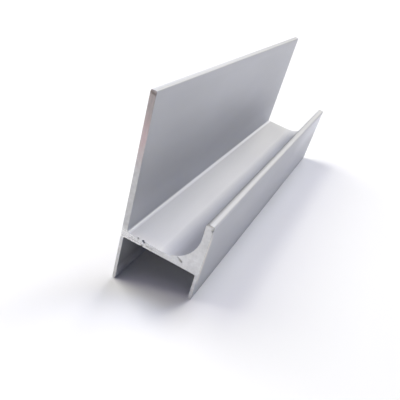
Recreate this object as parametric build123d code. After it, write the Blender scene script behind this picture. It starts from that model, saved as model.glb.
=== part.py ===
from build123d import *
from math import atan2, degrees
import os

# Sizes are in millimetres, and heights in the section count up from the toe of the back leg

# Stock
stock_length = 100.0

# Board edge that the channel takes
board_thickness = 18.0
board_clearance = 0.2

# Walls
flange_wall = 1.4
back_leg_wall = 0.8
front_leg_wall = 0.8
web_wall_at_flange = 1.7
web_wall_at_lip = 1.1
lip_wall = 1.8

# Reach of each wall from the corner of the web that it stands on
flange_height = 32.6
lip_height = 12.1
back_leg_depth = 12.7
front_leg_depth = 6.9

# Roundings that the die gives
trough_radius = 8.0
heel_radius = 0.45
seat_radius = 0.3
toe_radius = 0.25
flange_tip_radius = 0.3
lip_inner_radius = 0.55
lip_outer_radius = 0.4

# Share of the room between two corners that their roundings may fill
rounding_fill = 0.95

# Section worked out from the sizes above
channel_width = board_thickness + board_clearance
front_leg_inner = back_leg_wall + channel_width
overall_width = front_leg_inner + front_leg_wall
lip_inner_face = overall_width - lip_wall
trough_width = lip_inner_face - flange_wall
web_under = back_leg_depth
web_top_at_flange = web_under + web_wall_at_flange
web_top_at_lip = web_under + web_wall_at_lip
front_toe = web_under - front_leg_depth
flange_top = web_top_at_flange + flange_height
lip_top = web_top_at_lip + lip_height


def limited(radius, room):
    """Radius kept within the room that its walls leave."""
    return min(radius, rounding_fill * room)


def section_corners():
    """Corners of the section, walked once round from the back toe, each with its radius."""
    toe = limited(toe_radius, min(back_leg_wall, front_leg_wall) / 2)
    seat = limited(seat_radius, min(back_leg_depth, front_leg_depth) - toe)
    lip_outer = limited(lip_outer_radius, lip_wall / 2)
    lip_inner = limited(lip_inner_radius, lip_wall / 2)
    tip = limited(flange_tip_radius, flange_wall / 2)
    heel = limited(heel_radius, flange_height - tip)
    trough = limited(trough_radius, min(lip_height - lip_inner, trough_width - heel))
    return [
        ((0, 0), toe),
        ((back_leg_wall, 0), toe),
        ((back_leg_wall, web_under), seat),
        ((front_leg_inner, web_under), seat),
        ((front_leg_inner, front_toe), toe),
        ((overall_width, front_toe), toe),
        ((overall_width, lip_top), lip_outer),
        ((lip_inner_face, lip_top), lip_inner),
        ((lip_inner_face, web_top_at_lip), trough),
        ((flange_wall, web_top_at_flange), heel),
        ((flange_wall, flange_top), tip),
        ((0, flange_top), tip),
    ]


def rounded_section():
    """Flange, web, lip and two legs as one outline, with every corner rounded."""
    corners = section_corners()
    outline = Polyline([place for place, radius in corners], close=True)
    section = make_face(outline)
    for place, radius in corners:
        corner = section.vertices().sort_by_distance(place)[0]
        section = fillet(corner, radius)
    return section


def resting_lean():
    """Angle that sets both toes on the floor, towards the front where the front leg is short."""
    leg_off_its_inner_edge = back_leg_wall if front_toe > 0 else front_leg_wall
    return degrees(atan2(front_toe, overall_width - leg_off_its_inner_edge))


def extruded_stock():
    """Section drawn upright and pushed out along the stock, to both sides of its middle."""
    upright = Plane.XZ * rounded_section()
    return extrude(upright, amount=stock_length / 2, both=True)


def set_down(stock):
    """Stock leant onto its toes, with the middle of its box over the origin."""
    leant = Rot(0, resting_lean(), 0) * stock
    box = leant.bounding_box()
    return Pos(-box.center().X, -box.center().Y, -box.min.Z) * leant


handle_profile = set_down(extruded_stock())

os.makedirs("parts", exist_ok=True)
export_step(handle_profile, "parts/handle_profile.step")
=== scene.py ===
# %% [markdown]
# # A length of handle profile, dressed on its frame
# The object is one straight length of extruded aluminium. A channel along the bottom grips the
# edge of a board, a tall flange stands behind it, and a hooked lip makes a trough for the fingers.
# The frame that is loaded here already holds its exact solid. This lesson rebuilds that solid as a
# fine mesh that can carry saw marks and burrs, gives it its two finishes, and lights it on a floor.

# %% Load the frame
from math import atan2, ceil, cos, pi, radians, sin, tan

import bpy
import numpy as np
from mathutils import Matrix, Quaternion, Vector
from mathutils.geometry import delaunay_2d_cdt
from mathutils.kdtree import KDTree


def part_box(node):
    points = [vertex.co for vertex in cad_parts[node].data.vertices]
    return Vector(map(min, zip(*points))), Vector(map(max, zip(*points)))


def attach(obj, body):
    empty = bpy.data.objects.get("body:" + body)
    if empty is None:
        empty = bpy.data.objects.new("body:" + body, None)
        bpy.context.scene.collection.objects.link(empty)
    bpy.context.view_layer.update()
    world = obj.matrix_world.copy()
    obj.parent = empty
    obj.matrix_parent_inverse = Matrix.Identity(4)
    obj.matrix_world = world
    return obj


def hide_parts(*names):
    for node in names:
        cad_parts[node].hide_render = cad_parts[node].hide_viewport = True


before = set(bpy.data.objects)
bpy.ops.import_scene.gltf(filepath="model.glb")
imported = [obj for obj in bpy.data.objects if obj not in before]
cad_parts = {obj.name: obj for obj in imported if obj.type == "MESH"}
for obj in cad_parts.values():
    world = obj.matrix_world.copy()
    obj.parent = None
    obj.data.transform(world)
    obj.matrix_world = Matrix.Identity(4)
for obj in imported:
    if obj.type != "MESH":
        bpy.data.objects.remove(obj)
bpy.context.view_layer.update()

node_name = "handle_profile"
mm = 0.001
low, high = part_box(node_name)
stock_length = (high.y - low.y) / mm
print("The frame's box in millimetres:", [round(side / mm, 3) for side in high - low])

# %% [markdown]
# ## The section
# The real profile gets its shape from one steel plate, the die, so the whole object is a single
# outline pushed along a line. It could be copied from the solid's own triangles, but those turn
# the round trough into flats that a satin finish would show. So the outline is drawn again here
# from its sizes, in millimetres, as twelve corners that each have a rounding.

# %% Sizes of the section
board_channel = 18.2
flange_wall = 1.4
leg_wall = 0.8
web_wall_at_flange = 1.7
web_wall_at_lip = 1.1
lip_wall = 1.8
flange_height = 32.6
lip_height = 12.1
back_leg_depth = 12.7
front_leg_depth = 6.9

front_leg_inner = leg_wall + board_channel
overall_width = front_leg_inner + leg_wall
lip_inner_face = overall_width - lip_wall
web_under = back_leg_depth
web_top_at_flange = web_under + web_wall_at_flange
web_top_at_lip = web_under + web_wall_at_lip
front_toe = web_under - front_leg_depth
flange_top = web_top_at_flange + flange_height
lip_top = web_top_at_lip + lip_height

toe, seat, trough, heel, tip, lip_inside, lip_outside = 0.25, 0.3, 8.0, 0.45, 0.3, 0.55, 0.4
corners = [
    ((0, 0), toe),
    ((leg_wall, 0), toe),
    ((leg_wall, web_under), seat),
    ((front_leg_inner, web_under), seat),
    ((front_leg_inner, front_toe), toe),
    ((overall_width, front_toe), toe),
    ((overall_width, lip_top), lip_outside),
    ((lip_inner_face, lip_top), lip_inside),
    ((lip_inner_face, web_top_at_lip), trough),
    ((flange_wall, web_top_at_flange), heel),
    ((flange_wall, flange_top), tip),
    ((0, flange_top), tip),
]
print("The section is", round(overall_width, 2), "wide and", round(flange_top, 2), "high")

# %% [markdown]
# ## Round the corners
# A rounding is an arc that leaves one side and meets the next without a kink. Its centre lies on
# the line that halves the corner. Blender's curves could bevel these corners too, but walking the
# arc by its angle keeps the points evenly spaced, and even points give clean triangles later on.

# %% Walk the outline
rim_step = 0.14
steps_in_smallest_arc = 5


def corner_arc(before, corner, after, radius):
    """Points of the arc that rounds a corner, from the side before it to the side after it."""
    corner = Vector(corner)
    back = (Vector(before) - corner).normalized()
    on = (Vector(after) - corner).normalized()
    half = back.angle(on) / 2
    centre = corner + (back + on).normalized() * (radius / sin(half))
    start = corner + back * (radius / tan(half)) - centre
    turn = (pi - 2 * half) * (1 if back.x * on.y - back.y * on.x < 0 else -1)
    steps = max(steps_in_smallest_arc, ceil(radius * abs(turn) / rim_step))
    spins = [turn * step / steps for step in range(steps + 1)]
    return [
        centre + Vector((start.x * cos(a) - start.y * sin(a), start.x * sin(a) + start.y * cos(a)))
        for a in spins
    ]


def straight_run(start, end):
    """Points between the ends of two arcs, without those ends."""
    steps = max(1, ceil((end - start).length / rim_step))
    return [start.lerp(end, step / steps) for step in range(1, steps)]


arcs = [
    corner_arc(corners[at - 1][0], place, corners[(at + 1) % len(corners)][0], radius)
    for at, (place, radius) in enumerate(corners)
]
rim = []
for at, arc in enumerate(arcs):
    rim += arc + straight_run(arc[-1], arcs[(at + 1) % len(arcs)][0])
rim = np.array([tuple(point) for point in rim])
print("The outline has", len(rim), "points")

# %% [markdown]
# ## Lean it on its toes
# The front leg is shorter than the back one, so a loose length tips forward until both toes touch
# the floor. The lean follows from the two legs. The shift that puts the leant outline where the
# solid stands comes from the frame's own box, so the piece can't end up beside its solid.

# %% Find the lean and the shift
lean = atan2(front_toe, overall_width - leg_wall)
leant = np.stack(
    [rim[:, 0] * cos(lean) + rim[:, 1] * sin(lean), rim[:, 1] * cos(lean) - rim[:, 0] * sin(lean)],
    axis=1,
)
leant_low, leant_high = leant.min(axis=0), leant.max(axis=0)
shift = Vector((
    (low.x + high.x) / 2 - (leant_low[0] + leant_high[0]) / 2 * mm,
    low.y,
    low.z - leant_low[1] * mm,
))
print("It leans", round(lean * 180 / pi, 2), "degrees, and its outline measures",
      np.round(leant_high - leant_low, 3), "beside the frame's",
      round((high.x - low.x) / mm, 3), round((high.z - low.z) / mm, 3))

# %% [markdown]
# ## Fill the cut face
# The saw leaves fine grooves and a few torn spots on the cut face, and those need points to move.
# A plain fill has none between its edges. Here the inside is strewn with a close lattice of
# points, and a Delaunay triangulation joins them and the outline into triangles that are nearly
# equal sided, so that no direction in the mesh shows up in the shading.

# %% Strew the inside with points
lattice_step = 0.11
least_gap = 0.62 * lattice_step


def row_of_points(height, offset):
    """Lattice points of one row, between each pair of walls that the row crosses."""
    ahead = np.roll(rim, -1, axis=0)
    crossing = (rim[:, 1] <= height) != (ahead[:, 1] <= height)
    share = (height - rim[crossing, 1]) / (ahead[crossing, 1] - rim[crossing, 1])
    walls = np.sort(rim[crossing, 0] + share * (ahead[crossing, 0] - rim[crossing, 0]))
    columns = np.arange(offset, overall_width, lattice_step)
    inside = np.zeros(len(columns), bool)
    for left, right in walls.reshape(-1, 2):
        inside |= (columns > left) & (columns < right)
    return [(x, height) for x in columns[inside]]


rim_tree = KDTree(len(rim))
for at, (x, z) in enumerate(rim):
    rim_tree.insert((x, z, 0), at)
rim_tree.balance()

row_rise = lattice_step * sin(pi / 3)
lattice = []
for row in range(1, int(flange_top / row_rise)):
    lattice += row_of_points(row * row_rise, lattice_step / 2 * (row % 2))
lattice = [spot for spot in lattice if rim_tree.find((*spot, 0))[2] > least_gap]

points = [Vector(spot) for spot in [*map(tuple, rim), *lattice]]
rim_edges = [(at, (at + 1) % len(rim)) for at in range(len(rim))]
places, _, triangles, origins, _, _ = delaunay_2d_cdt(points, rim_edges, [], 1, 1e-6)
print("The cut face has", len(places), "points and", len(triangles), "triangles")

# %% [markdown]
# ## Mark what the saw did, and where shade is painted
# Every point of the sheet gets four notes. One is the way out of the metal, which only outline
# points have: burrs lean that way and the broken edge leans back. The second is how deep a nick is
# there. A nick is a line with a width and a depth, so a pit and the drag of a tooth are the same
# thing, and one with a depth below nothing stands proud, as a fleck of torn metal does. The third
# note is how much painted shade darkens the cut in the nick, and the fourth how near an edge is.
# Each nick below gives the two ends of its line, its width, its depth and its painted shade.

# %% Nicks of the near cut
# The last number of each nick is its painted shade: how much darker its colour is made where shade falls in
# it.
nicks = {
    "pit by the flange": ((4.2, 14.2), (4.4, 14.15), 0.19, 0.35, 0.6),
    "fleck beside the pit": ((3.5, 14.32), (3.75, 14.27), 0.18, -0.15, 0.0),
    "chip in the web's edge": ((5.55, 14.12), (5.95, 13.97), 0.24, 0.6, 1.0),
    "slit under the trough": ((14.2, 14.85), (15.3, 14.2), 0.22, 0.12, 0.35),
    "wide end of the slit": ((14.85, 14.5), (15.2, 14.25), 0.34, 0.08, 0.2),
    "gap in the hanging burr": ((5.45, 12.75), (5.6, 12.85), 0.2, 0.3, 0.8),
    "drag line low on the web": ((1.5, 13.2), (6.5, 13.15), 0.1, 0.05, 0.3),
    "drag line across the web": ((2.5, 13.62), (8.2, 13.55), 0.09, 0.04, 0.22),
    "short drag line": ((6.6, 13.35), (8.0, 13.3), 0.12, 0.06, 0.35),
    "dent in the lip's corner": ((19.8, 25.45), (19.7, 24.95), 0.36, 0.35, 0.36),
    "filed corner of the lip": ((18.5, 26.05), (19.7, 26.0), 0.42, 0.1, 0.0),
    "worn corner of the lip": ((17.9, 25.8), (18.3, 25.95), 0.35, 0.18, 0.2),
    "knock on the flange's tip": ((0.2, 46.9), (1.5, 46.5), 0.55, 0.12, 0.18),
}


def nick_share(spots, start, end, width):
    """Share of one nick that every spot has, full on its line and none a width away."""
    start, run = np.array(start), np.subtract(end, start)
    along = np.clip(((spots - start) @ run) / (run @ run), 0, 1)
    away = np.linalg.norm(spots - start - along[:, None] * run, axis=1) / width
    return np.clip(1 - away**2, 0, 1)


spots = np.array([tuple(place) for place in places])
nick = np.zeros(len(spots))
nick_shade = np.zeros(len(spots))
for start, end, width, depth, shade_amount in nicks.values():
    share = nick_share(spots, start, end, width)
    nick += depth * share
    nick_shade = np.maximum(nick_shade, shade_amount * np.sqrt(share))
edge_gap = np.array([rim_tree.find((*spot, 0))[2] for spot in spots])

tangent = np.roll(rim, -1, axis=0) - np.roll(rim, 1, axis=0)
outward = np.stack([tangent[:, 1], -tangent[:, 0]], axis=1)
outward /= np.linalg.norm(outward, axis=1)[:, None]
way_out = np.zeros((len(spots), 3))
for at, sources in enumerate(origins):
    from_rim = [source for source in sources if source < len(rim)]
    if from_rim:
        way_out[at, [0, 2]] = outward[from_rim[0]]
print("Deepest nick", round(float(nick.max()), 2), "and rim points", int((way_out**2).sum()))

# %% [markdown]
# ## Lay the sheet in the die
# The sheet is an ordinary mesh, drawn in millimetres with x across the section and z up it. The
# four notes go with it as attributes, which nodes can read by name.

# %% The sheet
sheet = bpy.data.meshes.new("section_sheet")
sheet.from_pydata([(x, 0, z) for x, z in spots], [], [tuple(reversed(t)) for t in triangles])
sheet.attributes.new("nick", "FLOAT", "POINT").data.foreach_set("value", nick)
# This attribute carries the painted shade of the nicks.
sheet.attributes.new("nick_shade", "FLOAT", "POINT").data.foreach_set("value", nick_shade)
sheet.attributes.new("edge_gap", "FLOAT", "POINT").data.foreach_set("value", edge_gap)
sheet.attributes.new("way_out", "FLOAT_VECTOR", "POINT").data.foreach_set("vector", way_out.ravel())
facing = sum(face.normal.y * face.area for face in sheet.polygons)
if facing < 0:
    sheet.flip_normals()
print("The sheet covers", round(sum(face.area for face in sheet.polygons), 2), "square millimetres")

# %% [markdown]
# ## Small helpers for node trees
# Geometry Nodes and materials are both trees of nodes, and both are built in code here. One
# helper adds a node and feeds its inputs. The others write sums the way one would on paper: on
# numbers, on vectors, and from one range of values to another.

# %% Node helpers
def feed(tree, socket, value):
    """Links another node's output to a socket, or sets the socket to a plain value."""
    if isinstance(value, bpy.types.NodeSocket):
        tree.links.new(value, socket)
    else:
        socket.default_value = value


def add(tree, kind, feeds=(), **settings):
    """A new node with its settings made and its inputs fed by name or by number."""
    node = tree.nodes.new(kind)
    for name, value in settings.items():
        setattr(node, name, value)
    for name, value in dict(feeds).items():
        feed(tree, node.inputs[name], value)
    return node


def maths(tree, operation, *terms):
    """Result of one sum on numbers."""
    node = add(tree, "ShaderNodeMath", enumerate(terms), operation=operation)
    return node.outputs[0]


def vectors(tree, operation, *terms):
    """Result of one sum on vectors."""
    node = add(tree, "ShaderNodeVectorMath", operation=operation)
    for socket, term in zip(node.inputs, terms):
        feed(tree, socket, term)
    if operation == "SCALE":
        feed(tree, node.inputs["Scale"], terms[1])
    return node.outputs["Value"] if operation in ("LENGTH", "DISTANCE") else node.outputs["Vector"]


def ramp(tree, value, start, end, low_value=0.0, high_value=1.0):
    """Value carried over from one range to another, and held at its ends."""
    feeds = {"Value": value, "From Min": start, "From Max": end}
    feeds |= {"To Min": low_value, "To Max": high_value}
    return add(tree, "ShaderNodeMapRange", feeds).outputs["Result"]


print("Helpers ready")

# %% [markdown]
# ## The press
# An extrusion press pushes hot metal through the die without a pause, and a puller keeps it
# straight. The tree below does the same: a repeat zone extrudes the front of the sheet by one
# step, again and again. The steps are equal at first. One formula, a hyperbolic tangent, then
# slides the rings towards both ends, because only the cut ends need fine rings to carry damage.

# %% Start the tree
press = bpy.data.node_groups.new("press_and_saw", "GeometryNodeTree")
press.interface.new_socket("Stock", in_out="OUTPUT", socket_type="NodeSocketGeometry")
press_inputs = {
    "Sheet": ("NodeSocketGeometry", None),
    "Stock length": ("NodeSocketFloat", stock_length),
    "Rings": ("NodeSocketInt", 22),
    "Crowding": ("NodeSocketFloat", 3.4),
    "Groove depth": ("NodeSocketFloat", 0.012),
    "Blade below": ("NodeSocketFloat", 140.0),
    "Edge break": ("NodeSocketFloat", 0.035),
    "Burr height": ("NodeSocketFloat", 0.26),
    "Lean": ("NodeSocketFloat", lean),
    "Shift": ("NodeSocketVector", shift),
    "Metres in a unit": ("NodeSocketFloat", mm),
    "Skin": ("NodeSocketMaterial", None),
    "Cut": ("NodeSocketMaterial", None),
}
for name, (kind, value) in press_inputs.items():
    press.interface.new_socket(name, in_out="INPUT", socket_type=kind)
given = add(press, "NodeGroupInput").outputs
print("The press has", len(press_inputs), "inputs")

# %% Push the sheet out
facing_limit = 0.5
weld_gap = 0.0005

loop_start = add(press, "GeometryNodeRepeatInput")
loop_end = add(press, "GeometryNodeRepeatOutput")
loop_start.pair_with_output(loop_end)
feed(press, loop_start.inputs["Iterations"], given["Rings"])
feed(press, loop_start.inputs["Geometry"], given["Sheet"])

normal = add(press, "GeometryNodeInputNormal").outputs["Normal"]
along_normal = add(press, "ShaderNodeSeparateXYZ", {"Vector": normal}).outputs["Y"]
front_faces = maths(press, "GREATER_THAN", along_normal, facing_limit)
ring_gap = maths(press, "DIVIDE", given["Stock length"], given["Rings"])
push = add(press, "ShaderNodeCombineXYZ", {"Y": ring_gap})
extruded = add(
    press,
    "GeometryNodeExtrudeMesh",
    {
        "Mesh": loop_start.outputs["Geometry"],
        "Selection": front_faces,
        "Offset": push.outputs["Vector"],
        "Individual": False,
    },
    mode="FACES",
)
feed(press, loop_end.inputs["Geometry"], extruded.outputs["Mesh"])
near_cap = add(press, "GeometryNodeFlipFaces", {"Mesh": given["Sheet"]}).outputs["Mesh"]
closed = add(press, "GeometryNodeJoinGeometry")
press.links.new(loop_end.outputs["Geometry"], closed.inputs[0])
press.links.new(near_cap, closed.inputs[0])
welded = add(
    press, "GeometryNodeMergeByDistance", {"Geometry": closed.outputs[0], "Distance": weld_gap}
).outputs["Geometry"]
print("Push and weld are in the tree")


# %% Crowd the rings towards the cuts
def parts_of(tree, vector):
    """The x, y and z of a vector, as three outputs."""
    outputs = add(tree, "ShaderNodeSeparateXYZ", {"Vector": vector}).outputs
    return [outputs[axis] for axis in "XYZ"]


def keep(tree, geometry, name, kind, domain, value):
    """Geometry with a value stored on it under a name."""
    feeds = {"Geometry": geometry, "Name": name, "Value": value}
    node = add(tree, "GeometryNodeStoreNamedAttribute", feeds, data_type=kind, domain=domain)
    return node.outputs["Geometry"]


def recall(tree, name, kind):
    """A stored value, read back by its name."""
    node = add(tree, "GeometryNodeInputNamedAttribute", {"Name": name}, data_type=kind)
    return node.outputs["Attribute"]


flat_cut = maths(press, "GREATER_THAN", maths(press, "ABSOLUTE", along_normal), facing_limit)
marked = keep(press, welded, "is_cut", "BOOLEAN", "FACE", flat_cut)

place = add(press, "GeometryNodeInputPosition").outputs["Position"]
x, y, z = parts_of(press, place)
half_length = maths(press, "DIVIDE", given["Stock length"], 2.0)
middle_out = maths(press, "SUBTRACT", maths(press, "DIVIDE", y, half_length), 1.0)
bent = maths(press, "TANH", maths(press, "MULTIPLY", middle_out, given["Crowding"]))
bent = maths(press, "DIVIDE", bent, maths(press, "TANH", given["Crowding"]))
station = maths(press, "MULTIPLY", half_length, maths(press, "ADD", bent, 1.0))
crowded = add(
    press,
    "GeometryNodeSetPosition",
    {
        "Geometry": marked,
        "Position": add(press, "ShaderNodeCombineXYZ", {"X": x, "Y": station, "Z": z}).outputs["Vector"],
    },
).outputs["Geometry"]
placed = keep(press, crowded, "die_place", "FLOAT_VECTOR", "POINT", place)
print("Rings are crowded towards the cuts")

# %% [markdown]
# ## The saw
# The length was cut off with a round blade. Each tooth leaves a groove, so the grooves are arcs
# about the blade's centre, far below the section, and look almost straight on so small a face.
# Noise along the distance from that centre gives them. The face is pressed in by the groove depth
# and by the nicks, and the walls close behind it are squeezed along with it, so nothing folds.

# %% Saw grooves and nicks
cut_reach = 1.6
groove_waves = 2.6
near_cut_shift = 40.0

from_near = y
from_far = maths(press, "SUBTRACT", given["Stock length"], y)
from_cut = maths(press, "MINIMUM", from_near, from_far)
at_near = maths(press, "LESS_THAN", from_near, from_far)
towards_middle = maths(press, "SUBTRACT", maths(press, "MULTIPLY", at_near, 2.0), 1.0)

blade = add(press, "ShaderNodeCombineXYZ", {"X": overall_width / 2})
feed(press, blade.inputs["Z"], maths(press, "MULTIPLY", given["Blade below"], -1.0))
across = add(press, "ShaderNodeCombineXYZ", {"X": x, "Z": z}).outputs["Vector"]
blade_distance = vectors(press, "DISTANCE", across, blade.outputs["Vector"])
noise_place = maths(press, "ADD", blade_distance, maths(press, "MULTIPLY", at_near, near_cut_shift))
grooves = add(
    press,
    "ShaderNodeTexNoise",
    {"W": noise_place, "Scale": groove_waves, "Detail": 2.0, "Roughness": 0.6},
    noise_dimensions="1D",
).outputs["Fac"]
groove = maths(press, "MULTIPLY", grooves, given["Groove depth"])
near_nick = maths(press, "MULTIPLY", recall(press, "nick", "FLOAT"), at_near)
pressed_in = maths(press, "ADD", groove, near_nick)
squeeze = ramp(press, from_cut, 0.0, cut_reach, 1.0, 0.0)
pressed_in = maths(press, "MULTIPLY", maths(press, "MULTIPLY", pressed_in, squeeze), towards_middle)
sawn = add(
    press,
    "GeometryNodeSetPosition",
    {"Geometry": placed, "Offset": add(press, "ShaderNodeCombineXYZ", {"Y": pressed_in}).outputs["Vector"]},
).outputs["Geometry"]
print("Grooves and nicks are in the tree")

# %% [markdown]
# ## Broken edges and burrs
# Where the blade leaves the metal it pulls up a burr, a ragged hem along the edge. Here it hangs
# from the underside of the web near the flange, and a thinner one stands on the web's top. All
# the other edges of the cuts are only broken a little. Both are one move of the outermost ring,
# along the way out that each rim point knows. Noise makes them ragged, and the burrs fade across
# the section, between the places that are named below in millimetres from the flange's back.

# %% Move the outermost ring
ring_depth = 0.12
ragged_waves = 1.5
least_broken, most_broken = -0.4, -1.4
steep_enough = 0.7
below_web, above_web = web_under - 0.2, web_top_at_flange + 0.1
hanging_full, hanging_faded, hanging_rest = 1.0, 9.0, 0.15
standing_from, standing_full, standing_gone, standing_most = 6.0, 7.0, 13.0, 0.6

way = recall(press, "way_out", "FLOAT_VECTOR")
die_place = recall(press, "die_place", "FLOAT_VECTOR")
die_x, die_y, die_z = parts_of(press, die_place)
die_from_cut = maths(press, "MINIMUM", die_y, maths(press, "SUBTRACT", given["Stock length"], die_y))
on_ring = ramp(press, die_from_cut, 0.0, ring_depth, 1.0, 0.0)
ragged = add(
    press,
    "ShaderNodeTexNoise",
    {"Vector": die_place, "Scale": ragged_waves, "Detail": 3.0, "Roughness": 0.65},
    noise_dimensions="3D",
).outputs["Fac"]
ragged_break = ramp(press, ragged, 0.3, 0.7, least_broken, most_broken)
broken = maths(press, "MULTIPLY", ragged_break, given["Edge break"])
way_up = parts_of(press, way)[2]

hanging = maths(press, "LESS_THAN", way_up, -steep_enough)
hanging = maths(press, "MULTIPLY", hanging, maths(press, "GREATER_THAN", die_z, below_web))
hanging_share = ramp(press, die_x, hanging_faded, hanging_full, hanging_rest, 1.0)
hanging = maths(press, "MULTIPLY", hanging, hanging_share)

standing = maths(press, "GREATER_THAN", way_up, steep_enough)
standing = maths(press, "MULTIPLY", standing, maths(press, "LESS_THAN", die_z, above_web))
standing = maths(press, "MULTIPLY", standing, maths(press, "GREATER_THAN", die_x, standing_from))
standing_share = ramp(press, die_x, standing_gone, standing_full, 0.0, standing_most)
standing = maths(press, "MULTIPLY", standing, standing_share)

burr = maths(press, "MULTIPLY", ramp(press, ragged, 0.42, 0.68, 0.0, 1.0), given["Burr height"])
burr = maths(press, "MULTIPLY", burr, maths(press, "ADD", hanging, standing))
burr = maths(press, "MULTIPLY", burr, at_near)
ring_move = maths(press, "MULTIPLY", maths(press, "ADD", broken, burr), on_ring)
edged = add(
    press,
    "GeometryNodeSetPosition",
    {"Geometry": sawn, "Offset": vectors(press, "SCALE", way, ring_move)},
).outputs["Geometry"]
print("Edges are broken and burred")

# %% [markdown]
# ## Set it down and finish the tree
# The last nodes turn millimetres into metres, lean the stock onto its toes and move it to its
# solid. Edges that fold by more than thirty degrees stay sharp and all others are smooth. The cut
# faces and the skin then get their materials.

# %% Close the tree
fold_limit = radians(30)

lean_turn = add(press, "ShaderNodeCombineXYZ", {"Y": given["Lean"]}).outputs["Vector"]
unit = given["Metres in a unit"]
set_down = add(
    press,
    "GeometryNodeTransform",
    {
        "Geometry": edged,
        "Translation": given["Shift"],
        "Rotation": lean_turn,
        "Scale": add(press, "ShaderNodeCombineXYZ", {"X": unit, "Y": unit, "Z": unit}).outputs["Vector"],
    },
).outputs["Geometry"]
fold = add(press, "GeometryNodeInputMeshEdgeAngle").outputs["Unsigned Angle"]
too_folded = maths(press, "GREATER_THAN", fold, fold_limit)
sharpened = keep(press, set_down, "sharp_edge", "BOOLEAN", "EDGE", too_folded)
smoothed = add(press, "GeometryNodeSetShadeSmooth", {"Geometry": sharpened}).outputs["Geometry"]
real = add(press, "GeometryNodeRealizeInstances", {"Geometry": smoothed}).outputs["Geometry"]
skinned = add(
    press, "GeometryNodeSetMaterial", {"Geometry": real, "Material": given["Skin"]}
).outputs["Geometry"]
finished = add(
    press,
    "GeometryNodeSetMaterial",
    {"Geometry": skinned, "Selection": recall(press, "is_cut", "BOOLEAN"), "Material": given["Cut"]},
).outputs["Geometry"]
feed(press, add(press, "NodeGroupOutput").inputs["Stock"], finished)
print("The tree has", len(press.nodes), "nodes")

# %% [markdown]
# ## Small helpers for materials
# Both finishes are made of the same few things: noise, noise drawn out along one way, bumps, and
# colours blended by a share. Their patterns read the place that every point had in the upright
# stock, which the tree stored in millimetres, so they follow the section although the piece leans.

# %% Material helpers
def new_material(name):
    """An empty material, its tree and its shader."""
    material = bpy.data.materials.new(name)
    material.use_nodes = True
    tree = material.node_tree
    tree.nodes.clear()
    shader = add(tree, "ShaderNodeBsdfPrincipled")
    output = add(tree, "ShaderNodeOutputMaterial")
    tree.links.new(shader.outputs["BSDF"], output.inputs["Surface"])
    return material, tree, shader


def noise(tree, vector, scale, detail=2.0, roughness=0.5):
    """Soft noise about one half, at so many waves in a unit."""
    feeds = {"Vector": vector, "Scale": scale, "Detail": detail, "Roughness": roughness}
    return add(tree, "ShaderNodeTexNoise", feeds).outputs["Fac"]


def stretched(tree, vector, scale):
    """A vector whose axes are scaled apart, so that a pattern on it is drawn out."""
    return vectors(tree, "MULTIPLY", vector, scale)


def bump(tree, height, distance, strength, normal=None):
    """Shading normal of a surface with that height on it, distance in metres."""
    feeds = {"Height": height, "Distance": distance, "Strength": strength}
    node = add(tree, "ShaderNodeBump", feeds)
    if normal is not None:
        feed(tree, node.inputs["Normal"], normal)
    return node.outputs["Normal"]


def attribute(tree, name, output="Vector"):
    """What the mesh carries under a name: a vector, or a number from the output Fac."""
    return add(tree, "ShaderNodeAttribute", attribute_name=name).outputs[output]


def blend_colours(tree, share, first, second):
    """Colour between two, by a share from 0 to 1."""
    node = add(tree, "ShaderNodeMix", data_type="RGBA")
    feed(tree, node.inputs["Factor"], share)
    feed(tree, node.inputs[6], first)
    feed(tree, node.inputs[7], second)
    return node.outputs[2]


print("Material helpers ready")

# %% [markdown]
# ## Masks along the section
# A mask is a share from 0 to 1 that says where on the piece something holds. It could be painted
# onto an image. Here every point knows its place in the stock, so a mask is a range of that place:
# across the section, along the length or up the section. Two stops make a slope from nothing to
# full, four make a band with two soft sides, and masks multiplied together hold where all do.

# %% Mask helpers
def product(tree, *factors):
    """All the factors multiplied together."""
    result = factors[0]
    for factor in factors[1:]:
        result = maths(tree, "MULTIPLY", result, factor)
    return result


def graded(tree, value, start, full, full_to=None, end=None):
    """Share that goes from 0 at the start to 1 at full, and with two more stops back to 0."""
    share = ramp(tree, value, start, full)
    if end is None:
        return share
    return product(tree, share, ramp(tree, value, end, full_to))


class DieMap:
    """Masks made from the place that each point had in the upright stock."""

    def __init__(self, tree):
        self.tree = tree
        self.place = attribute(tree, "die_place")
        self.x, self.y, self.z = parts_of(tree, self.place)

    def across(self, *stops):
        """Share by the place across the section, counted from the flange's back."""
        return graded(self.tree, self.x, *stops)

    def along(self, *stops):
        """Share by the place along the stock, counted from the near cut."""
        return graded(self.tree, self.y, *stops)

    def up(self, *stops):
        """Share by the height in the section, counted from the back toe."""
        return graded(self.tree, self.z, *stops)

    def near(self, line, reach, core):
        """Share round a line that runs along the stock: full in the core, none past the reach."""
        flat_place = stretched(self.tree, self.place, (1.0, 0.0, 1.0))
        away = vectors(self.tree, "DISTANCE", flat_place, (line[0], 0.0, line[1]))
        return ramp(self.tree, away, reach, core)

    def where(self, *masks):
        """Share that holds where all the masks do."""
        return product(self.tree, *masks)


def with_bands(tree, bands):
    """1, raised or lowered by every band, which is a mask and how much it adds."""
    gain = 1.0
    for mask, amount in bands.values():
        gain = maths(tree, "MULTIPLY_ADD", mask, amount, gain)
    return gain


print("Mask helpers ready")

# %% [markdown]
# ## The anodised skin
# Satin anodising etches the metal matt and grows a thin clear oxide on it, with a soft and
# slightly blue sheen, so the skin is set to be half metallic. The die leaves hair-fine lines along
# the stock: noise drawn out along the length makes them. A second, much finer noise is the etched
# grain, and a third, very broad one lets the tone drift a little.

# %% Start the skin
skin_tone = (0.583, 0.595, 0.634, 1)
skin_shade = (0.558, 0.570, 0.608, 1)
scraped_tone = (0.86, 0.83, 0.79, 1)

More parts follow.
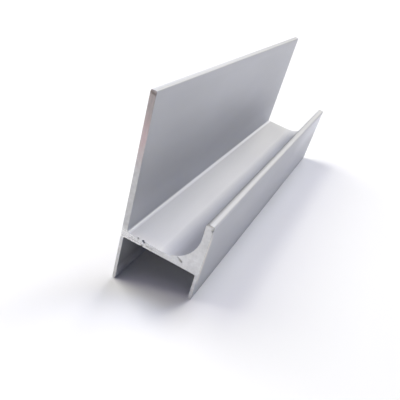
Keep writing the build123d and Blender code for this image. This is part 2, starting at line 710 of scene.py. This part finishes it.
skin, skin_tree, skin_shader = new_material("satin_anodised_skin")
skin_map = DieMap(skin_tree)
lines = noise(skin_tree, stretched(skin_tree, skin_map.place, (5.0, 0.004, 5.0)), 1.0, 3.0, 0.6)
cloud = noise(skin_tree, stretched(skin_tree, skin_map.place, (0.12, 0.03, 0.12)), 1.0, 2.0)
grain = noise(skin_tree, skin_map.place, 9.0, 2.0, 0.6)
print("The skin has die lines, a drift of tone and an etched grain")

# %% Faces and edges of the skin
inner_face = skin_map.across(1.3, 1.35, 1.45, 1.6)
outer_face = skin_map.across(19.2, 19.7)
web_top = skin_map.where(skin_map.across(1.9, 2.6, 10.0, 12.5), skin_map.up(13.8, 14.0))
channel = skin_map.where(skin_map.up(13.0, 12.5), skin_map.across(0.5, 0.7, 19.1, 19.3))

heel_line = (flange_wall + 0.4, web_top_at_flange + 0.05)
lip_edge_line = (lip_inner_face + 0.1, lip_top - 0.15)
back_toe_line = (leg_wall, 0.0)
print("Bright and dull edges run along x and z of", heel_line, lip_edge_line, back_toe_line)

# %% [markdown]
# ## Where the skin gets painted light and shade
# A real length isn't equally bright all over. Rounded edges catch the light, and the room around
# reflects in every face a little differently. A few lamps can't give all of that, so named bands
# raise or lower the skin's tone by a share: painted highlights, painted reflections and painted
# shade. They were matched to one view of a real length.

# %% Bands of the flange
# Painted highlights at the heel and the tip, painted reflection low on the flange, painted shade higher up
# on it and by the near cut.
painted_light_bands = {
    "bright heel": (skin_map.near(heel_line, 0.62, 0.3), 0.32),
    "bright tip": (
        skin_map.where(skin_map.up(flange_top - 0.3, flange_top - 0.05), skin_map.across(1.5, 0.4)),
        ramp(skin_tree, skin_map.y, stock_length, 0.0, -0.1, 0.45),
    ),
    "foot of the flange": (skin_map.where(inner_face, skin_map.up(14.8, 16.0, 19.0, 23.0)), 0.05),
    "quiet band of the flange": (
        skin_map.where(inner_face, skin_map.up(20.0, 25.0, 29.0, 34.0), skin_map.along(30.0, 10.0)),
        -0.07,
    ),
    "flange by the near cut": (
        skin_map.where(skin_map.across(2.4, 1.5), skin_map.along(35.0, 0.0)),
        -0.1,
    ),
}
print("The flange has", len(painted_light_bands), "bands")

# %% Bands of the web and the trough
# Painted highlights and reflections: the web by the heel, the web by the near cut and the bank of the
# trough are made brighter.
painted_light_bands |= {
    "web by the heel": (
        skin_map.where(web_top, skin_map.across(6.5, 2.6), skin_map.along(75.0, 45.0)),
        0.05,
    ),
    "web by the near cut": (skin_map.where(web_top, skin_map.along(30.0, 0.0)), 0.05),
    "bank of the trough": (
        skin_map.where(skin_map.across(9.4, 11.7, 12.9, 15.0), skin_map.up(13.0, 13.5, 15.2, 16.4)),
        ramp(skin_tree, skin_map.y, 12.0, 0.0, 0.15, 0.27),
    ),
}
print("With the web and the trough there are", len(painted_light_bands))

# %% Bands of the lip and the legs
# Painted shade on the lip's inner edge, by the near cut, at the front toe and in the channel; painted
# highlights on the lip's outer edge and its far end, and painted light inside by the back toe.
painted_light_bands |= {
    "dull inner edge of the lip": (
        skin_map.where(skin_map.near(lip_edge_line, 0.85, 0.45), skin_map.along(75.0, 45.0)),
        -0.35,
    ),
    "lip's outer edge": (
        skin_map.where(outer_face, skin_map.up(24.6, 25.4), skin_map.along(30.0, 5.0)),
        0.15,
    ),
    "lip by the near cut": (skin_map.where(outer_face, skin_map.along(75.0, 0.0)), -0.11),
    "lip's far end": (
        skin_map.where(outer_face, skin_map.up(16.0, 20.0, 24.4, 25.3), skin_map.along(65.0, 100.0)),
        0.4,
    ),
    "front toe": (
        skin_map.where(skin_map.up(9.5, front_toe), skin_map.across(front_leg_inner, overall_width)),
        -0.15,
    ),
    "channel": (channel, -0.12),
    "back toe inside": (skin_map.where(channel, skin_map.near(back_toe_line, 4.2, 0.5)), 0.95),
    "back leg inside": (skin_map.where(channel, skin_map.across(1.3, 1.1)), -0.2),
}
print("With the lip and the legs there are", len(painted_light_bands))

# %% [markdown]
# ## Scraped edges, and the skin's shader
# The saw has bared a warm bright line where the lip's outer face meets the near cut, and rubbed the
# web's top a little beside it. Both are blended in as a colour, because brighter skin would look
# blue. Inside the channel the skin isn't metallic at all: a metal there would mirror the dark under
# the piece, and the real one looks pale grey.

# %% Finish the skin
rubbed_share = 0.17
metallic_outside, metallic_in_channel = 0.5, 0.0
least_rough, most_rough = 0.56, 0.63
line_height, grain_height = 0.0000015, 0.000002

scraped = skin_map.where(outer_face, skin_map.up(9.5, 12.5, 22.0, 24.5), skin_map.along(1.8, 0.1))
rubbed = skin_map.where(web_top, skin_map.along(3.0, 0.4), rubbed_share)
bared = maths(skin_tree, "MAXIMUM", scraped, rubbed)
skin_colour = blend_colours(skin_tree, ramp(skin_tree, cloud, 0.35, 0.65), skin_shade, skin_tone)
skin_colour = blend_colours(skin_tree, bared, skin_colour, scraped_tone)
skin_colour = vectors(skin_tree, "SCALE", skin_colour, with_bands(skin_tree, painted_light_bands))
metallic = ramp(skin_tree, channel, 0.0, 1.0, metallic_outside, metallic_in_channel)
line_bump = bump(skin_tree, lines, line_height, 1.0)

feed(skin_tree, skin_shader.inputs["Base Color"], skin_colour)
feed(skin_tree, skin_shader.inputs["Metallic"], metallic)
feed(skin_tree, skin_shader.inputs["Roughness"], ramp(skin_tree, lines, 0.3, 0.7, least_rough, most_rough))
feed(skin_tree, skin_shader.inputs["Normal"], bump(skin_tree, grain, grain_height, 1.0, line_bump))
print("Skin material has", len(skin_tree.nodes), "nodes")

# %% [markdown]
# ## The bare cut
# The saw opens bright bare metal, a little warmer than the skin. Its teeth drag streaks along the
# web and leave bright flecks there, while the lip and the legs only look mottled, and the burr
# that hangs below the web is torn and bright. The flecks and the burr are whitened further with
# painted glints, and the nicks and the edges are darkened with painted shade.

# %% Start the cut
cut_tone = (0.815, 0.82, 0.825, 1)
cut_shade = (0.705, 0.71, 0.715, 1)
streak_tone = (0.40, 0.395, 0.39, 1)
pink_tone = (0.60, 0.46, 0.47, 1)
brown_tone = (0.43, 0.40, 0.395, 1)
darkening_tone = (0.10, 0.10, 0.095, 1)
glint_tone = (1.0, 1.0, 1.0, 1)

cut, cut_tree, cut_shader = new_material("bare_saw_cut")
cut_map = DieMap(cut_tree)
mottle = noise(cut_tree, cut_map.place, 0.9, 3.0, 0.6)
speckle = noise(cut_tree, cut_map.place, 3.6, 3.0, 0.65)
flecks = noise(cut_tree, cut_map.place, 3.2, 1.0, 0.5)
streaks = noise(cut_tree, stretched(cut_tree, cut_map.place, (0.16, 1.0, 2.9)), 1.0, 3.0, 0.6)
strands = noise(cut_tree, stretched(cut_tree, cut_map.place, (2.2, 1.0, 0.35)), 1.0, 3.0, 0.6)
print("The cut has streaks, strands, flecks, speckles and a mottle")

# %% Parts of the cut face
on_web = cut_map.where(cut_map.across(13.5, 9.0), cut_map.up(12.3, 12.8, 14.4, 15.0))
on_flange = cut_map.where(cut_map.across(2.6, 1.8), cut_map.up(14.6, 16.0))
on_back_leg = cut_map.where(cut_map.across(2.6, 1.8), cut_map.up(12.8, 12.2))
up_the_lip = cut_map.where(cut_map.up(17.0, 20.0), cut_map.across(14.0, 16.0))
# Painted shade and painted reflection: the cut's flange, back leg and upper lip are made duller, and the
# web by the flange brighter.
cut_painted_light = {
    "flange": (on_flange, -0.23),
    "back leg": (on_back_leg, -0.13),
    "upper lip": (up_the_lip, -0.12),
    "web by the flange": (cut_map.where(on_web, cut_map.across(9.0, 5.0)), 0.1),
}
print("The cut is brighter or duller in", len(cut_painted_light), "places")

# %% [markdown]
# ## Stains and painted shade of the near cut
# The near cut has been handled. Its upper flange is stained a pinkish brown, in strands that run
# up the wall, and the very corner is darker still. The nicks hold painted shade, the edges a faint
# painted shade, and the torn burr and the flecks are whitened by painted glints. The strands, that
# corner and the painted shade in the nicks stay on the near cut, because the far one was never
# seen, and a copy of them there would be an invention. The painted shade along the edges and the
# painted glints on the torn metal are on both cuts.

# %% Masks of the stains, the painted shade and the painted glints
edge_gap_here = attribute(cut_tree, "edge_gap", "Fac")
near_cut = cut_map.along(60.0, 40.0)
strand = cut_map.where(ramp(cut_tree, strands, 0.32, 0.62, 0.55, 1.0), near_cut)
# Painted shade: the nicks and a thin band along the edges of the cut are darkened, where shade falls in
# them.
nick_shaded = cut_map.where(attribute(cut_tree, "nick_shade", "Fac"), near_cut)
edge_shade = cut_map.where(
    ramp(cut_tree, edge_gap_here, 0.16, 0.0), ramp(cut_tree, speckle, 0.35, 0.65, 0.0, 0.45)
)
dark_corner = cut_map.where(cut_map.up(45.4, 46.6), near_cut, 0.12)
darkened = maths(cut_tree, "MAXIMUM", maths(cut_tree, "MAXIMUM", nick_shaded, edge_shade), dark_corner)
# Painted glint: the torn burr and the flecks on the web are made white, brighter than the bare metal around
# them, though their relief is real.
torn_burr_glint = cut_map.where(
    ramp(cut_tree, edge_gap_here, 0.26, 0.12),
    cut_map.across(11.0, 7.0),
    cut_map.up(12.2, 12.6, 13.0, 13.3),
    ramp(cut_tree, speckle, 0.36, 0.5),
)
flecks_with_glints = cut_map.where(on_web, cut_map.across(11.0, 5.0), ramp(cut_tree, flecks, 0.57, 0.62))
# The darkening in the nicks and along the edges is painted shade; the flange's top corner is only darker.
print("Grime lies in nicks, along edges and in the flange's corner")

# %% Finish the cut
cut_metallic = 0.85
streak_height, tooth_height = 0.00002, 0.00003
# Of these, the darkened nicks and edges are painted shade and the white torn metal is a painted glint; the
# streaks, spots and strands are the cut's own marks.
stains = {
    "dragged streaks": (cut_map.where(ramp(cut_tree, streaks, 0.50, 0.36), on_web, 0.55), streak_tone),
    "dark spots": (cut_map.where(on_web, ramp(cut_tree, speckle, 0.42, 0.3), 0.35), streak_tone),
    "pinkish strands": (cut_map.where(cut_map.up(29.0, 38.0), strand), pink_tone),
    "brownish strands": (cut_map.where(cut_map.up(38.0, 43.0), strand), brown_tone),
    "painted shade in nicks and edges, dark corner": (darkened, darkening_tone),
    "painted glints on torn metal": (maths(cut_tree, "MAXIMUM", torn_burr_glint, flecks_with_glints), glint_tone),
}
cut_colour = blend_colours(cut_tree, ramp(cut_tree, mottle, 0.35, 0.65), cut_shade, cut_tone)
cut_colour = vectors(cut_tree, "SCALE", cut_colour, with_bands(cut_tree, cut_painted_light))
for share, tone in stains.values():
    cut_colour = blend_colours(cut_tree, share, cut_colour, tone)
streak_bump = bump(cut_tree, streaks, streak_height, 0.5)
tooth_marks = maths(cut_tree, "ADD", flecks_with_glints, speckle)

feed(cut_tree, cut_shader.inputs["Base Color"], cut_colour)
cut_shader.inputs["Metallic"].default_value = cut_metallic
feed(cut_tree, cut_shader.inputs["Roughness"], ramp(cut_tree, speckle, 0.25, 0.75, 0.42, 0.6))
feed(cut_tree, cut_shader.inputs["Normal"], bump(cut_tree, tooth_marks, tooth_height, 0.5, streak_bump))
print("Cut material has", len(cut_tree.nodes), "nodes")

# %% [markdown]
# ## Run the press
# The sheet goes onto an object, the tree onto the object as a modifier, and each input is set by
# its socket's identifier before the first evaluation. The result becomes a plain mesh, and the
# modifier and the sheet are gone before the piece meets the frame.

# %% Make the piece
sheet.materials.append(skin)
die_object = bpy.data.objects.new("die_sheet", sheet)
bpy.context.scene.collection.objects.link(die_object)
modifier = die_object.modifiers.new("press_and_saw", "NODES")
modifier.node_group = press
identifiers = {
    item.name: item.identifier for item in press.interface.items_tree if item.in_out == "INPUT"
}
press_inputs["Skin"] = ("NodeSocketMaterial", skin)
press_inputs["Cut"] = ("NodeSocketMaterial", cut)
for name, (kind, value) in press_inputs.items():
    if value is not None:
        modifier[identifiers[name]] = value
evaluated = die_object.evaluated_get(bpy.context.evaluated_depsgraph_get())
pressed = bpy.data.meshes.new_from_object(evaluated)
die_object.modifiers.remove(modifier)
bpy.data.objects.remove(die_object)

profile = bpy.data.objects.new("handle_profile_dressed", pressed)
bpy.context.scene.collection.objects.link(profile)
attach(profile, "root")
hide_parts(node_name)
print("The piece has", len(pressed.vertices), "points and",
      sum(len(face.vertices) - 2 for face in pressed.polygons), "triangles, in",
      [material.name for material in pressed.materials])

# %% [markdown]
# ## Floor
# The piece stands on a plain pale floor that runs on past the edge of the picture. It is a stage
# and not part of the object.

# %% Lay the floor
floor_side = 8.0
floor_tone = (0.902, 0.912, 0.945, 1)
floor_roughness = 0.9
floor_mesh = bpy.data.meshes.new("floor")
floor_corners = [(x, y, 0.0) for x, y in ((-1, -1), (1, -1), (1, 1), (-1, 1))]
floor_mesh.from_pydata([Vector(c) * floor_side / 2 for c in floor_corners], [], [(0, 1, 2, 3)])
floor = bpy.data.objects.new("floor", floor_mesh)
bpy.context.scene.collection.objects.link(floor)
paper, _, paper_shader = new_material("pale_floor")
paper_shader.inputs["Base Color"].default_value = floor_tone
paper_shader.inputs["Roughness"].default_value = floor_roughness
paper_shader.inputs["Specular IOR Level"].default_value = 0.0
floor_mesh.materials.append(paper)
print("The floor is", floor_side, "metres wide")

# %% [markdown]
# ## Camera
# The view looks down the length from the near end. The camera's place and turn were found by
# matching the corners of both cut ends, and its lens is a little longer than normal.

# %% Place the camera
sensor_width = 36.0
lens = 40.81
camera_place = Vector((44.819, -121.119, 61.530)) * mm
look_around = radians(26.0014)
look_down = radians(25.0378)
roll = radians(-0.82)

camera_data = bpy.data.cameras.new("camera")
camera_data.sensor_width = sensor_width
camera_data.lens = lens
camera_data.clip_start = 0.005
camera_data.clip_end = 50.0
camera = bpy.data.objects.new("camera", camera_data)
bpy.context.scene.collection.objects.link(camera)
looking = Vector((-sin(look_around) * cos(look_down), cos(look_around) * cos(look_down), -sin(look_down)))
camera.rotation_mode = "QUATERNION"
camera.rotation_quaternion = looking.to_track_quat("-Z", "Y") @ Quaternion((0, 0, 1), roll)
camera.location = camera_place
bpy.context.scene.camera = camera
print("The camera looks along", [round(part, 4) for part in looking])

# %% [markdown]
# ## Light
# The light comes from a wide soft arc that stands behind the piece and to its left, so the web and
# the lip's edge shine, the inner face of the flange stays a quiet grey and the shadow falls to the
# right and to the front. Six sun lamps make it: four strong ones behind and to the left, and two
# faint ones in front, which keep the near cut from going dark. A sun as wide as these has no sharp
# shadow, and it lights the floor the same out to the horizon, which a lamp nearby can't do. The
# room is dark and adds little light, and a Light Path node shows a pale wall to the camera alone.
# Each lamp below gives how far round and how high it stands, in degrees, its power and its tint.

# %% Lamps and room
lamp_width = radians(36)
lamps = {
    "behind, low and warm": (25, 40, 1.32, (1.14, 1.0, 0.56)),
    "behind, higher and cool": (35, 52, 0.90, (0.86, 1.0, 1.56)),
    "left, high up": (290, 62, 1.49, (1.01, 1.0, 0.83)),
    "front left, overhead": (220, 75, 0.33, (1.10, 0.96, 1.15)),
    "left, near the floor": (300, 12, 1.68, (1.05, 0.98, 1.0)),
    "front, near the floor": (180, 12, 0.16, (1.15, 0.9, 0.6)),
}
room_colour = (0.034, 0.046, 0.075, 1)
wall_colour = (0.93, 0.94, 0.96, 1)


def sun_lamp(name, around, up, power, colour):
    """A wide sun that shines from that many degrees round the piece and up from the floor."""
    data = bpy.data.lights.new(name, "SUN")
    data.angle = lamp_width
    data.energy = power
    data.color = colour
    lamp = bpy.data.objects.new(name, data)
    around, up = radians(around), radians(up)
    towards = Vector((sin(around) * cos(up), cos(around) * cos(up), sin(up)))
    lamp.rotation_euler = (-towards).to_track_quat("-Z", "Y").to_euler()
    lamp.location = towards
    bpy.context.scene.collection.objects.link(lamp)
    return lamp


arc_lamps = [sun_lamp(name, *sizes) for name, sizes in lamps.items()]
world = bpy.data.worlds.new("room")
world.use_nodes = True
dark_room = world.node_tree.nodes["Background"]
dark_room.inputs["Color"].default_value = room_colour
pale_wall = add(world.node_tree, "ShaderNodeBackground", {"Color": wall_colour})
seen = add(world.node_tree, "ShaderNodeLightPath").outputs["Is Camera Ray"]
either = add(
    world.node_tree,
    "ShaderNodeMixShader",
    {"Fac": seen, 1: dark_room.outputs["Background"], 2: pale_wall.outputs["Background"]},
)
feed(world.node_tree, world.node_tree.nodes["World Output"].inputs["Surface"], either.outputs["Shader"])
bpy.context.scene.world = world
bpy.context.scene.view_settings.view_transform = "Standard"
print("The arc has", len(arc_lamps), "lamps")

# %% [markdown]
# ## Finish
# The last step brings the view layer up to date.

# %% Finish
bpy.context.view_layer.update()
